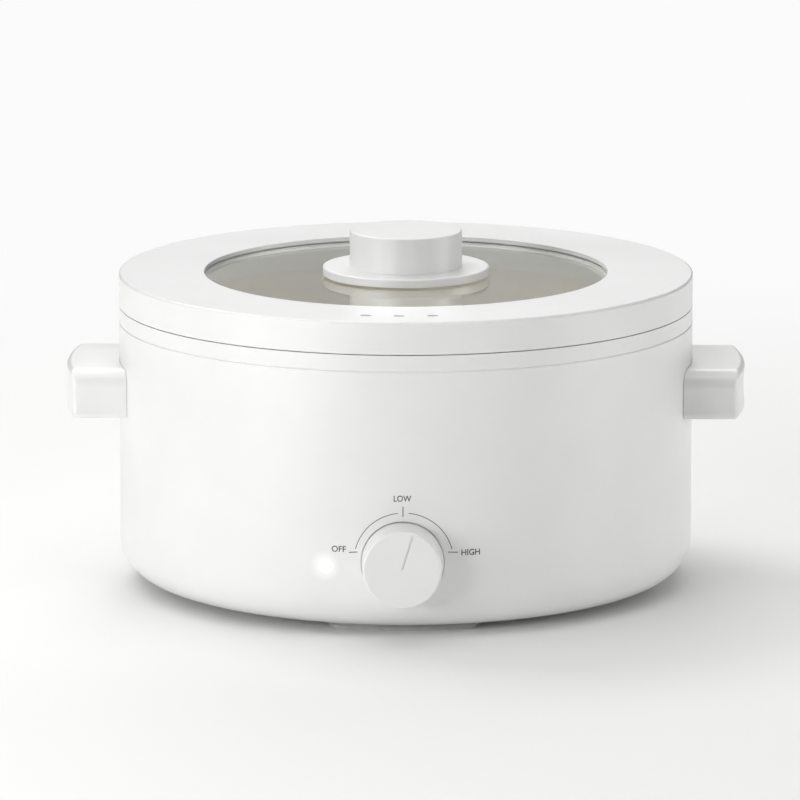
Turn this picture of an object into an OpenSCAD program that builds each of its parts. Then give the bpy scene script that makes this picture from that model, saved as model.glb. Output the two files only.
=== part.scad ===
// Electric hot pot with a lift-off glass lid.
// Free-standing: the floor is z = 0, the pot's own axis is x = y = 0, and the dial faces -Y.

/* [Body] */
// Outer diameter of the housing, the collar and the lid
body_d = 300; // [290:1:330]
// Wall of the moulded housing
shell_wall = 2.8; // [2.2:0.1:3.4]
// Outer radius of the housing's bottom corner
shell_corner_r = 19; // [16:0.5:20]
// Space under the pot for the heater, the control and the wiring
base_space = 51.4; // [50:0.1:60]
// Height of the collar between the housing and the lid
collar_h = 8.4; // [8:0.1:12]
// Chamfer on both sides of the joint between housing and collar
joint_chamfer = 0.5; // [0.3:0.1:1]

/* [Cooking pot] */
// Depth of the cavity, from the rim to the cooking surface
pot_depth = 88; // [70:1:110]
// From the housing's outer face to the wall of the cavity
pot_inset = 19; // [18:0.5:24]
// Wall of the pot
pot_wall = 2.5; // [1.5:0.1:3.5]
// Inner radius of the pot's bottom corner
pot_corner_r = 20; // [12:1:24]
// Thickness of the pot's rim flange
pot_flange_t = 1.8; // [1.2:0.1:2.4]
// How far the rim lies below the collar's top
rim_recess = 0.4; // [0.2:0.1:0.8]
// Thickness of the silicone ring under the rim flange
pot_seal_t = 1.2; // [0.8:0.1:2]

/* [Lid] */
// Height of the lid's white ring
lid_h = 16.4; // [15:0.1:20]
// Width of the lid's white ring, around the window
lid_ring_w = 44.5; // [40:0.5:50]
// Open joint between the lid and the collar
lid_gap = 0.5; // [0.3:0.1:1]
// Wall of the lid ring's skirt
lid_wall = 2.5; // [2:0.1:3]
// Thickness of the lid ring's top
lid_top_t = 2; // [1.6:0.1:2.6]
// Rounding of the lid ring's upper outer edge
lid_edge_r = 1.2; // [0.5:0.1:2]
// Thickness of the window glass
glass_t = 4; // [3:0.5:5]
// Thickness of each lip of the glass seal
seal_lip_t = 0.5; // [0.4:0.1:1]
// How far the glass reaches under the ring
glass_grip = 5.5; // [4:0.5:7]
// Thickness of the lid's base plate
plate_t = 2.5; // [2:0.1:3]
// How far the locating skirt reaches down into the pot
skirt_drop = 6.2; // [4:0.1:10]
// Length of a steam slot in the lid's top
vent_l = 6; // [4:0.5:8]
// Width of a steam slot in the lid's top
vent_w = 3.2; // [2:0.1:3.6]
// Angle from one steam slot to the next
vent_step = 7.4; // [6:0.1:9]
// Angle from the front to the middle steam slot, as photographed
vent_turn = -0.85; // [-3:0.05:3]

/* [Knob] */
// Diameter of the grip
grip_d = 58.8; // [50:0.2:66]
// Height of the grip
grip_h = 19; // [16:0.5:24]
// Diameter of the disc under the grip
flange_d = 87; // [78:1:95]
// Thickness of the disc under the grip
flange_t = 4.2; // [3.5:0.1:5]
// Wall of the grip
grip_wall = 2.6; // [2:0.1:3]
// Thickness of the silicone washer on top of the glass
knob_gasket_t = 0.8; // [0.6:0.1:1.2]

/* [Handles] */
// How far a handle stands out from the housing
handle_reach = 27.5; // [22:0.5:32]
// Width of a handle, front to back
handle_w = 83; // [66:1:90]
// Height of a handle
handle_h = 25.4; // [24:0.2:30]
// From the housing's top edge down to the handle's top
handle_drop = 20.7; // [16:0.1:28]
// Wall of a handle
handle_wall = 3; // [2.6:0.1:3.6]
// Rounding of a handle's upper edge along its rim
handle_top_r = 3; // [2:0.5:7]
// Rounding of a handle's upper edge at its front and back
handle_side_r = 8.5; // [3:0.5:10]
// Rounding of a handle's lower edge
handle_bottom_r = 3; // [1.5:0.5:4]
// Depth of the finger cove round a handle's sides
cove_depth = 0.5; // [0.3:0.1:1.2]
// Distance between the two screws of a handle
handle_screw_pitch = 44; // [36:1:50]

/* [Dial] */
// Diameter of the dial at its back
dial_back_d = 41.6; // [36:0.2:44]
// Diameter of the dial's face
dial_face_d = 39.8; // [34:0.2:42]
// Length of the dial, front to back
dial_l = 19.8; // [16:0.2:24]
// From the housing's underside up to the dial's axis
dial_rise = 36.1; // [34:0.1:36.9]
// How far the dial's pocket is sunk into the housing
dial_pocket = 2.1; // [1.9:0.1:2.4]
// Diameter of the control's spindle
spindle_d = 6; // [5:0.5:7]
// Pointer's angle past the upright mark, as photographed
pointer_angle = 17; // [0:1:60]

/* [Indicator] */
// Diameter of the indicator lens
lens_d = 7; // [5:0.5:9]
// Angle round the body from the dial to the lens
lens_angle = 15; // [14:0.5:18]
// How far the lens lies below the dial's axis
lens_drop = 2.8; // [0:0.1:4]

/* [Power inlet] */
// Width of the inlet's mouth
mouth_w = 24; // [22:0.5:26]
// Height of the inlet's mouth
mouth_h = 16.5; // [15:0.5:18]
// Depth of the inlet's recess
mouth_depth = 16.5; // [14:0.5:18]
// Distance between the inlet's two screws
inlet_pitch = 40; // [38:0.5:42]
// Height of the inlet's axis above the housing's underside
inlet_rise = 31.9; // [29:0.1:33.9]

/* [Base] */
// Height of the feet
foot_h = 4.3; // [4:0.1:8]
// Width of a foot where it meets the base
foot_w = 83; // [60:1:90]
// Thickness of a foot, inwards
foot_t = 9; // [7:0.5:9]
// Thickness of the base cover
cover_t = 2.4; // [2:0.1:3]

/* [Heater] */
// Thickness of the heater plate
heater_t = 4; // [3:0.5:5]
// Diameter of the tubular heating element
tube_d = 8; // [6:0.5:9]
// Radius of the element's ring
tube_ring_r = 75; // [65:1:80]
// Thickness of the heat shield's sheet
shield_t = 0.8; // [0.6:0.1:1.2]

/* [Hidden] */
$fn = 96;
small_fn = 48;       // for small circles
eps = 0.01;          // overlap that joins two solids of one piece
over = 1;            // how far a cut runs past the solid that it cuts

// Clearances
face_gap = 0.15;    // between curved faces that meet inside the body
rest_gap = 0.3;     // between the closed lid and the pot's rim
slide_gap = 1;      // between the lid's skirt and the pot's wall
run_gap = 0.05;     // between the spindle and its holes
hole_gap = 0.2;     // between a screw and the hole it passes through
let_in_gap = 0.3;   // round a piece that is let into the housing
pilot_spare = 1;    // from a screw's tip to the end of its pilot hole

// Radii of the main pieces
body_r = body_d / 2;
shell_in_r = body_r - shell_wall;
pot_r = body_r - pot_inset;
window_r = body_r - lid_ring_w;

// Heights of the main pieces
shell_z = foot_h;
pot_base_z = shell_z + base_space;
pot_floor_z = pot_base_z + pot_wall;
rim_z = pot_floor_z + pot_depth;
collar_top_z = rim_z + rim_recess;
shell_top_z = collar_top_z - collar_h;
shell_h = shell_top_z - shell_z;
lid_z = collar_top_z + lid_gap;
lid_top_z = lid_z + lid_h;
lid_ceiling_z = lid_top_z - lid_top_t;
glass_top_z = lid_ceiling_z - seal_lip_t;
glass_z = glass_top_z - glass_t;
plate_top_z = glass_z - seal_lip_t;
plate_z = plate_top_z - plate_t;

// Screws: shank, head and head height, and how deep they bite
screw_r = 1.5;
screw_head_r = 2.8;
screw_head_h = 2;
screw_bite = 8;
boss_r = 4;

// Housing's bottom: rebate for the base cover, narrow rim over it, posts for the shield
cover_inset = 2;
cover_r = body_r - shell_corner_r - cover_inset;
rim_w = 4;
rim_t = 2.6;
rim_in_r = cover_r - rim_w;
floor_z = shell_z + cover_t;
void_z = floor_z + rim_t;
post_r = 5;
post_edge = 2;
post_ring_r = rim_in_r - post_r - post_edge;
post_web_t = 4;
post_web_h = 12;
post_angles = [45, 135, 225, 315];

// Collar: ledge under the pot's flange, skirt down inside the housing
collar_ledge_t = 2.6;
collar_skirt_t = 2.2;
collar_skirt_h = 6;
collar_face = 3.6;
ledge_top_z = rim_z - pot_flange_t - pot_seal_t;
flange_out_r = body_r - collar_face;
pot_clear = 1;
seal_margin = 1;

// Heater stack, hung under the pot
pot_out_r = pot_r + pot_wall;
pot_flat_r = pot_r - pot_corner_r;
heater_margin = 16;
heater_r = pot_flat_r - heater_margin;
heater_z = pot_base_z - heater_t;
shield_gap = 17;
shield_z = heater_z - shield_gap;
shield_wall_h = 12;
shield_margin = 5;
shield_r = heater_r + shield_margin;
ear_w = 16;
ear_reach = post_ring_r + post_r + pot_clear;
stud_r = 2;
stud_ring_r = 50;
nut_h = 3.2;
nut_d = 8.1;
stud_end = 6;

// Heating element: open ring with two ends turned down through the shield
tube_sweep = 310;
tube_sink = 1;
tube_z = heater_z - tube_sink;
end_r = 3;
end_angles = [90 - (360 - tube_sweep) / 2, 90 + (360 - tube_sweep) / 2];
end_len = 25;
bush_r = 6;
bush_h = 7;
bush_mid_z = shield_z + shield_t / 2;

// Sensor bulb and thermal fuse, clipped to the heater plate's underside
bulb_r = 2;
bulb_l = 60;
fuse_r = 2.75;
fuse_l = 36;
probe_y = 30;
probe_lead = 6;
lead_hole_r = 3;
capillary_r = 0.8;
clip_t = 0.6;
clip_w = 10;
clip_foot = 6;
clip_gap = 0.1;
// Distance from a probe's axis up to the heater plate
function probe_lift(r) = r + clip_gap;
bulb_z = heater_z - probe_lift(bulb_r);
fuse_z = heater_z - probe_lift(fuse_r);

// Control behind the dial
dial_z = shell_z + dial_rise;
panel_t = 2.7;
panel_y = body_r - dial_pocket;
panel_in_y = panel_y - panel_t;
pad_r = 25;
pocket_gap = 0.5;
control_w = 34;
control_h = 28;
control_l = 22;
control_edge_r = 2;
control_back_y = -(panel_in_y - control_l);
tag_drop = 9;
sleeve_r = 4.7;
sleeve_l = 6;
sleeve_nut_t = 2.5;
sleeve_nut_d = 15;
spindle_tail = 7;
spindle_nose = 14;
bore_spare = 0.5;
dial_seat_gap = 0.3;
dial_back_y = panel_y + dial_seat_gap;
spindle_l = dial_back_y - panel_in_y + spindle_tail + spindle_nose;
dial_wall = 2.4;
dial_front_t = 3;
dial_edge_r = 1.2;
hub_r = 6;
hub_recess = 3.8;
flat_depth = 1.5;
groove_w = 1;
groove_depth = 0.4;
groove_margin = 1.8;

// Indicator lens and the board behind it
lens_z = dial_z - lens_drop;
lens_recess = 0.2;
lens_lip = 1.5;
lens_rim = 1.5;
lens_back = 3;
lamp_r = 2.5;
lamp_l = 5;
lamp_gap = 0.3;
board = [16, 1.6, 14];
board_r = shell_in_r - lens_lip - lens_back - lamp_gap - lamp_l - board.y;
peg_r = 0.9;
peg_x = 6.6;
peg_l = shell_in_r - board_r - board.y;
lamp_wire_drop = 2;

// Power inlet in the rear wall
inlet_z = shell_z + inlet_rise;
inlet_ear = 5;
inlet_flange = [inlet_pitch + 2 * inlet_ear, 22.5, 2.2];
inlet_corner_r = 3;
inlet_pocket = 2.7;
inlet_flange_y = body_r - inlet_pocket;
inlet_face_y = inlet_flange_y + inlet_flange.z;
inlet_pad_t = 2.7;
inlet_pad_rim = 2;
inlet_pad = [inlet_flange.x + 2 * inlet_pad_rim, inlet_flange.y + 2 * inlet_pad_rim];
inlet_wall = 1.8;
inlet_back_t = 2.5;
inlet_in_y = inlet_face_y - mouth_depth - inlet_back_t;
mouth_cut = 4.5;
inlet_screw_l = 4;
inlet_pilot_spare = 0.4;
inlet_pilot = inlet_screw_l - inlet_flange.z + inlet_pilot_spare;
blade = [2, 4];
blade_pitch = 14;
blade_lift = 2;
blade_recess = 1.5;
blade_tail = 7;
blade_end_y = inlet_in_y - blade_tail;
sunk_h = 1.4;

// Terminal block on the base cover
block = [36, 16, 13];
block_gap = 19.5;
block_y = blade_end_y - block_gap - block.y;
block_mid_z = floor_z + block.z / 2;

// Wires: outer radii, number of sides, how a bend is divided, and the heights they run at
wire_r = 1.3;
thin_wire_r = 0.8;
wire_sides = 8;
bend_steps = 4;
wire_bend = 4;
wide_bend = 6;
wire_tag_x = 12;
end_z = tube_z - end_len;
fuse_wire_z = shield_z - 5;
capillary_z = shield_z - 8;
capillary_end_z = shield_z - 2;
front_loom_z = floor_z + 9;
rear_loom_z = floor_z + 11;

// Handles
handle_out_r = body_r + handle_reach;
handle_top_z = shell_top_z - handle_drop;
handle_z = handle_top_z - handle_h;
handle_mid_z = handle_z + handle_h / 2;
handle_screw_l = 16;
handle_screw_r = 2;
handle_head_r = 3.6;
handle_head_h = 2.4;
handle_boss_r = 5;
handle_seat_h = 0.5;
handle_seat_x = sqrt(pow(shell_in_r, 2) - pow(handle_screw_pitch / 2 + boss_r, 2)) - handle_seat_h;
handle_end_wall = handle_wall + 0.4 * handle_side_r;    // keeps the wall whole at the rounding

// Lid: seal, skirts, screws
glass_r = window_r + glass_grip;
seal_setback = 0.8;
seal_in_r = window_r + seal_setback;
seal_wall = 1.5;
seal_out_r = glass_r + seal_wall;
plate_ledge = 2;
plate_in_r = window_r - plate_ledge;
plate_gap = 1.5;
plate_out_r = body_r - lid_wall - plate_gap;
skirt_t = 2.2;
skirt_r = pot_r - slide_gap;
rest_skirt_t = 2.2;
seal_fence_r = seal_out_r + hole_gap;
seal_fence_t = 1.8;
seal_fence_h = 3;
lid_screws_n = 6;
lid_screw_spare = 2;
lid_screw_l = lid_ceiling_z - plate_z - lid_screw_spare;
lid_screw_ring_r = (skirt_r + plate_out_r - rest_skirt_t) / 2;
vent_out = 1;
vent_ring_r = skirt_r + vent_out;
vent_low_in = 9;
vent_low_ring_r = skirt_r - vent_low_in;
vent_low = [9, 4];

// Knob stack on the glass
gasket_r = 24;
gasket_land = 2;
knob_hole_r = 3;
flange_z = glass_top_z + knob_gasket_t;
grip_z = flange_z + flange_t;
flange_skin = 2.2;
flange_rim = 2.5;
flange_edge_r = 0.8;
grip_top_t = 3;
grip_edge_r = 0.9;
insert_r = 3.5;
insert_h = 12;
insert_sink = 0.5;
thread_r = 2.5;
insert_boss_r = 7.5;
glass_hole_r = 4;
cushion_r = 10;
cushion_t = 1.5;
washer_r = 8;
washer_t = 1.2;
knob_head_r = 4.75;
knob_head_h = 3;

// Feet
foot_edge = 1;
foot_out_r = cover_r - foot_edge;
foot_mid_r = foot_out_r - foot_t / 2;
foot_slant = 7;
foot_line_z = 1.9;
foot_line = 0.5;
foot_peg_r = 2;
foot_peg_angle = 12;

// Vent slots in the base cover
cover_slots_n = 24;
cover_slot_ring_r = 60;
cover_slot = [24, 3];

WHITE = "#f4f4f2";
CREAM = "#f1ede2";
SILICONE = "#d9d9d6";
STEEL = "#b9bcc0";
ALLOY = "#c9cbcd";
BRASS = "#b89a55";
CERAMIC = "#e9e4d8";
DARK = "#2b2b2d";

// ---- shared shapes -------------------------------------------------------------------------

// Half section of a cup with a rounded bottom corner, standing on y = 0
module cup_section(r, h, corner) {
    translate([0, corner]) square([r, h - corner]);
    square([r - corner, h]);
    translate([r - corner, corner]) circle(corner);
}

// Cutter for a round hole along Z that goes through everything between two heights
module hole(r, z0, z1) translate([0, 0, z0 - over]) cylinder(r = r, h = z1 - z0 + 2 * over);

// Ring between two radii and two heights
module ring(r_in, r_out, z0, z1) difference() {
    translate([0, 0, z0]) cylinder(r = r_out, h = z1 - z0);
    hole(r_in, z0, z1);
}

// Puts a shape drawn along +Z on the front, pointing out through the wall at distance y
module on_front(y, z) translate([0, -y, z]) rotate([90, 0, 0]) children();

// Puts a shape drawn along +Z on the rear, pointing out through the wall at distance y
module on_rear(y, z) translate([0, y, z]) rotate([90, 0, 180]) children();

// Puts a shape drawn along +Z on the indicator's spoke, pointing out at distance r
module on_lens(r) rotate([0, 0, -lens_angle]) on_front(r, lens_z) children();

// Pan-head screw drawn along +Z, with its head below z = 0
module screw(r, head_r, head_h, bite) {
    translate([0, 0, -head_h]) cylinder(r = head_r, h = head_h);
    translate([0, 0, -eps]) cylinder(r = r, h = bite + eps);
}

// Slot with round ends, lying along X
module slot_2d(l, w) {
    square([l - w, w], center = true);
    for (side = [-1, 1]) translate([side * (l - w) / 2, 0]) circle(w / 2, $fn = small_fn);
}

// Rectangle with round corners
module round_rect_2d(w, h, r) {
    square([w - 2 * r, h], center = true);
    square([w, h - 2 * r], center = true);
    for (sx = [-1, 1], sy = [-1, 1]) translate([sx * (w / 2 - r), sy * (h / 2 - r)])
        circle(r, $fn = small_fn);
}

// Cable: a closed tube swept along a route whose corners are rounded off
function unit(v) = v / norm(v);
function bend(a, b, c, cut) = [
    for (i = [0 : bend_steps])
        let (t = i / bend_steps, p = b + cut * unit(a - b), q = b + cut * unit(c - b))
        (1 - t) * (1 - t) * p + 2 * t * (1 - t) * b + t * t * q
];
function route(points, cut) = [
    points[0],
    for (i = [1 : len(points) - 2]) each bend(points[i - 1], points[i], points[i + 1], cut),
    points[len(points) - 1]
];
function heading(path, i) = unit(path[min(i + 1, len(path) - 1)] - path[max(i - 1, 0)]);
function next_side(side, along) = unit(side - (side * along) * along);
function sides(path, i, side) = i == len(path) ? [] :
    let (s = next_side(side, heading(path, i))) concat([s], sides(path, i + 1, s));
function first_side(along) = abs(along.z) > 0.9 ? [1, 0, 0] : [0, 0, 1];

module cable(points, r, cut) {
    path = route(points, cut);
    n = len(path);
    side = sides(path, 0, first_side(heading(path, 0)));
    rings = [
        for (i = [0 : n - 1]) let (along = heading(path, i), up = cross(along, side[i]))
            for (k = [0 : wire_sides - 1]) let (a = 360 * k / wire_sides)
                path[i] + r * (cos(a) * side[i] + sin(a) * up)
    ];
    skin = [
        for (i = [0 : n - 2], k = [0 : wire_sides - 1])
            let (a = i * wire_sides, k2 = (k + 1) % wire_sides, b = a + wire_sides)
                each [[a + k, b + k, b + k2], [a + k, b + k2, a + k2]]
    ];
    first = [for (k = [0 : wire_sides - 1]) k];
    last = [for (k = [wire_sides - 1 : -1 : 0]) (n - 1) * wire_sides + k];
    polyhedron(rings, concat(skin, [first], [last]), convexity = 6);
}

// ---- housing -------------------------------------------------------------------------------

module shell_solid() translate([0, 0, shell_z])
    rotate_extrude() cup_section(body_r, shell_h, shell_corner_r);

module shell_void() translate([0, 0, void_z])
    rotate_extrude() cup_section(shell_in_r, shell_h, shell_corner_r - shell_wall);

// Handle screw axes, drawn along +Z towards the handle
module at_handle_screws(side, r) for (s = [-1, 1])
    translate([side * r, s * handle_screw_pitch / 2, handle_mid_z]) rotate([0, side * 90, 0]) children();

module post() {
    translate([post_ring_r, 0, floor_z]) cylinder(r = post_r, h = shield_z - floor_z);
    translate([post_ring_r, -post_web_t / 2, floor_z])
        cube([rim_in_r + rim_w - post_ring_r, post_web_t, post_web_h]);
}

module housing() color(WHITE) difference() {
    union() {
        difference() {
            shell_solid();
            shell_void();
            hole(rim_in_r, shell_z, void_z);
            translate([0, 0, shell_z - over]) cylinder(r = cover_r + let_in_gap, h = cover_t + over);
        }
        intersection() {
            shell_solid();
            union() {
                on_front(panel_in_y, dial_z) cylinder(r = pad_r, h = body_r - panel_in_y + over);
                on_rear(inlet_flange_y - inlet_pad_t, inlet_z)
                    linear_extrude(inlet_pocket + inlet_pad_t + over) square(inlet_pad, center = true);
                for (side = [-1, 1]) at_handle_screws(side, handle_seat_x)
                    cylinder(r = handle_boss_r, h = body_r - handle_seat_x);
            }
        }
        for (a = post_angles) rotate([0, 0, a]) post();
        for (s = [-1, 1]) on_lens(board_r) translate([s * peg_x, 0, board.y]) cylinder(r = peg_r, h = peg_l);
    }
    // pocket and hole for the dial
    on_front(panel_y, dial_z) cylinder(r = dial_back_d / 2 + pocket_gap, h = dial_pocket + over);
    on_front(panel_in_y, dial_z) hole(sleeve_r + hole_gap, 0, panel_t);
    // hole for the lens
    on_lens(shell_in_r) hole(lens_d / 2 + face_gap, 0, shell_wall);
    // pocket, window and pilot holes for the inlet
    on_rear(inlet_flange_y, inlet_z) linear_extrude(inlet_pocket + over)
        round_rect_2d(inlet_flange.x + 2 * let_in_gap, inlet_flange.y + 2 * let_in_gap, inlet_corner_r);
    on_rear(inlet_flange_y - inlet_pad_t - over, inlet_z) linear_extrude(inlet_pad_t + 2 * over)
        inlet_outline(inlet_wall + let_in_gap);
    for (s = [-1, 1]) on_rear(inlet_flange_y - inlet_pilot, inlet_z) translate([s * inlet_pitch / 2, 0, 0])
        cylinder(r = screw_r + run_gap, h = inlet_pilot + over);
    // holes for the handle screws, and pilot holes in the posts
    for (side = [-1, 1]) at_handle_screws(side, handle_seat_x)
        hole(handle_screw_r + hole_gap, 0, body_r - handle_seat_x);
    for (a = post_angles, z = [floor_z - over, shield_z - screw_bite])
        rotate([0, 0, a]) translate([post_ring_r, 0, z])
            cylinder(r = screw_r + run_gap, h = screw_bite + over);
    // chamfer at the joint with the collar
    joint_cut(shell_top_z, -1);
}

// Cuts a chamfer off a round edge of the body's outside: side -1 below the joint, +1 above it
module joint_cut(z, side) translate([0, 0, z]) rotate_extrude() polygon([
    [body_r - joint_chamfer, 0],
    [body_r + over, 0],
    [body_r + over, side * (joint_chamfer + over)],
    [body_r, side * joint_chamfer]
]);

// ---- collar, pot and seal -------------------------------------------------------------------

module collar() color(WHITE) difference() {
    union() {
        ring(flange_out_r + face_gap, body_r, shell_top_z, collar_top_z);
        ring(pot_out_r + pot_clear, body_r - over, ledge_top_z - collar_ledge_t, ledge_top_z);
        ring(shell_in_r - face_gap - collar_skirt_t, shell_in_r - face_gap,
            shell_top_z - collar_skirt_h, ledge_top_z);
    }
    joint_cut(shell_top_z, 1);
}

module cooking_pot() color(CREAM) difference() {
    union() {
        translate([0, 0, pot_base_z]) rotate_extrude()
            cup_section(pot_out_r, rim_z - pot_base_z, pot_corner_r + pot_wall);
        ring(pot_r, flange_out_r, rim_z - pot_flange_t, rim_z);
    }
    translate([0, 0, pot_floor_z]) rotate_extrude() cup_section(pot_r, pot_depth + over, pot_corner_r);
}

module pot_seal() color(SILICONE)
    ring(pot_out_r + pot_clear + seal_margin, flange_out_r - seal_margin, ledge_top_z, rim_z - pot_flange_t);

// ---- heater under the pot -------------------------------------------------------------------

module tube_ring(r) rotate([0, 0, end_angles[1]])
    rotate_extrude(angle = tube_sweep) translate([tube_ring_r, 0]) circle(r, $fn = small_fn);

module at_tube_ends() for (a = end_angles) rotate([0, 0, a]) translate([tube_ring_r, 0, 0]) children();

module at_studs() for (a = [0, 90, 180, 270]) rotate([0, 0, a]) translate([stud_ring_r, 0, 0]) children();

module heater_plate() color(ALLOY) difference() {
    translate([0, 0, heater_z]) cylinder(r = heater_r, h = heater_t);
    translate([0, 0, tube_z]) rotate_extrude() translate([tube_ring_r, 0])
        circle(tube_d / 2 + face_gap, $fn = small_fn);
    at_studs() hole(stud_r + hole_gap, heater_z, pot_base_z);
}

module heating_element() color(STEEL) {
    translate([0, 0, tube_z]) tube_ring(tube_d / 2);
    at_tube_ends() translate([0, 0, tube_z - end_len]) cylinder(r = end_r, h = end_len);
}

module terminal_bushes() color(CERAMIC) at_tube_ends()
    ring(end_r + hole_gap, bush_r, bush_mid_z - bush_h / 2, bush_mid_z + bush_h / 2);

module heat_shield() color(ALLOY) difference() {
    union() {
        translate([0, 0, shield_z]) cylinder(r = shield_r, h = shield_wall_h);
        for (a = post_angles) rotate([0, 0, a]) {
            translate([0, -ear_w / 2, shield_z]) cube([ear_reach - ear_w / 2, ear_w, shield_t]);
            translate([ear_reach - ear_w / 2, 0, shield_z]) cylinder(r = ear_w / 2, h = shield_t);
        }
    }
    translate([0, 0, shield_z + shield_t]) cylinder(r = shield_r - shield_t, h = shield_wall_h);
    translate([0, 0, shield_z]) {
        at_studs() hole(stud_r + hole_gap, 0, shield_t);
        at_tube_ends() hole(bush_r + hole_gap, 0, shield_t);
        for (a = post_angles) rotate([0, 0, a]) translate([post_ring_r, 0, 0])
            hole(screw_r + hole_gap, 0, shield_t);
        translate([bulb_l / 2 + probe_lead, -probe_y, 0]) hole(lead_hole_r, 0, shield_t);
        for (s = [-1, 1]) translate([s * (fuse_l / 2 + probe_lead), probe_y, 0])
            hole(lead_hole_r, 0, shield_t);
    }
}

module shield_screws() color(STEEL) for (a = post_angles) rotate([0, 0, a])
    translate([post_ring_r, 0, shield_z + shield_t]) rotate([180, 0, 0])
        screw(screw_r, screw_head_r, screw_head_h, screw_bite);

module pot_studs() color(STEEL) at_studs()
    translate([0, 0, shield_z - stud_end]) cylinder(r = stud_r, h = pot_base_z - shield_z + stud_end);

module pot_nuts() color(STEEL) at_studs() translate([0, 0, shield_z - nut_h]) difference() {
    cylinder(d = nut_d, h = nut_h, $fn = 6);
    hole(stud_r + run_gap, 0, nut_h);
}

// Clip: a strap bent over a round probe, with two flat feet spot-welded to the plate
module clip(r) {
    out_r = r + clip_gap + clip_t;
    difference() {
        union() {
            rotate([0, 90, 0]) cylinder(r = out_r, h = clip_w, center = true);
            translate([-clip_w / 2, -out_r, 0]) cube([clip_w, 2 * out_r, probe_lift(r)]);
            translate([-clip_w / 2, -out_r - clip_foot, probe_lift(r) - clip_t])
                cube([clip_w, 2 * (out_r + clip_foot), clip_t]);
        }
        rotate([0, 90, 0]) cylinder(r = r + clip_gap, h = clip_w + 2 * over, center = true);
        translate([-clip_w / 2 - over, -r - clip_gap, 0])
            cube([clip_w + 2 * over, 2 * (r + clip_gap), probe_lift(r) + over]);
    }
}

module sensor_bulb() color(BRASS) {
    translate([0, -probe_y, bulb_z]) rotate([0, 90, 0]) cylinder(r = bulb_r, h = bulb_l, center = true);
    cable([
        [bulb_l / 2 - over, -probe_y, bulb_z],
        [bulb_l / 2 + probe_lead, -probe_y, bulb_z],
        [bulb_l / 2 + probe_lead, -probe_y, capillary_z],
        [wire_tag_x, control_back_y + 20, capillary_z],
        [wire_tag_x, control_back_y + 6, capillary_end_z],
        [wire_tag_x, control_back_y, capillary_end_z]
    ], capillary_r, 2);
}

module bulb_clip() color(STEEL) translate([0, -probe_y, bulb_z]) clip(bulb_r);

module thermal_fuse() color(CERAMIC) {
    translate([0, probe_y, fuse_z]) rotate([0, 90, 0]) cylinder(r = fuse_r, h = fuse_l, center = true);
    for (s = [-1, 1]) cable([
        [s * (fuse_l / 2 - over), probe_y, fuse_z],
        [s * (fuse_l / 2 + probe_lead), probe_y, fuse_z],
        [s * (fuse_l / 2 + probe_lead), probe_y, fuse_wire_z]
    ], wire_r, wire_bend);
}

module fuse_clip() color(STEEL) translate([0, probe_y, fuse_z]) clip(fuse_r);

// ---- control, dial and indicator --------------------------------------------------------------

module control_body() color(DARK) difference() {
    union() {
        on_front(panel_in_y - control_l, dial_z) linear_extrude(control_l)
            round_rect_2d(control_w, control_h, control_edge_r);
        on_front(panel_in_y - over, dial_z) cylinder(r = sleeve_r, h = sleeve_l + over);
    }
    on_front(panel_in_y - spindle_tail - bore_spare, dial_z)
        cylinder(r = spindle_d / 2 + run_gap, h = spindle_tail + bore_spare + sleeve_l + over);
}

module control_nut() color(STEEL) on_front(panel_y, dial_z) difference() {
    cylinder(d = sleeve_nut_d, h = sleeve_nut_t, $fn = 6);
    hole(sleeve_r + run_gap, 0, sleeve_nut_t);
}

// Spindle with a flat, drawn along +Z from its inner end
module d_shaft(r, l) difference() {
    cylinder(r = r, h = l);
    translate([-r, r - flat_depth, l - spindle_nose - over]) cube([2 * r, 2 * r, spindle_nose + 2 * over]);
}

module control_spindle() color(STEEL) on_front(panel_in_y - spindle_tail, dial_z)
    rotate([0, 0, -pointer_angle]) d_shaft(spindle_d / 2, spindle_l);

module dial_knob() color(WHITE) on_front(dial_back_y, dial_z) rotate([0, 0, -pointer_angle]) {
    back_r = dial_back_d / 2;
    face_r = dial_face_d / 2;
    taper = (back_r - face_r) / dial_l;
    edge_r = face_r + taper * dial_edge_r;
    difference() {
        rotate_extrude() {
            polygon([[0, 0], [back_r, 0], [edge_r, dial_l - dial_edge_r], [0, dial_l - dial_edge_r]]);
            square([edge_r - dial_edge_r, dial_l]);
            translate([edge_r - dial_edge_r, dial_l - dial_edge_r]) circle(dial_edge_r);
        }
        difference() {
            translate([0, 0, -eps])
                cylinder(r1 = back_r - dial_wall, r2 = face_r - dial_wall, h = dial_l - dial_front_t);
            translate([0, 0, hub_recess]) cylinder(r = hub_r, h = dial_l);
        }
        translate([0, 0, spindle_nose - dial_l + bore_spare]) d_bore();
        translate([-groove_w / 2, 0, dial_l - groove_depth])
            cube([groove_w, face_r - groove_margin, groove_depth + over]);
    }
}

// The hub's bore: the spindle's section with running clearance, blind towards the face
module d_bore() difference() {
    cylinder(r = spindle_d / 2 + run_gap, h = dial_l);
    translate([-spindle_d, spindle_d / 2 - flat_depth + run_gap, -over])
        cube([2 * spindle_d, spindle_d, dial_l + 2 * over]);
}

module indicator_lens() color("#fbfbf8") {
    on_lens(shell_in_r - lens_lip - lens_back)
        cylinder(r = lens_d / 2, h = shell_wall - lens_recess + lens_lip + lens_back);
    on_lens(shell_in_r - face_gap - lens_lip) cylinder(r = lens_d / 2 + lens_rim, h = lens_lip);
}

module indicator_lamp() color("#fdfdfd") on_lens(board_r + board.y) cylinder(r = lamp_r, h = lamp_l);

module lamp_board() color("#3c6b4a") on_lens(board_r)
    linear_extrude(board.y) square([board.x, board.z], center = true);

// ---- power inlet and wiring ---------------------------------------------------------------------

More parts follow.
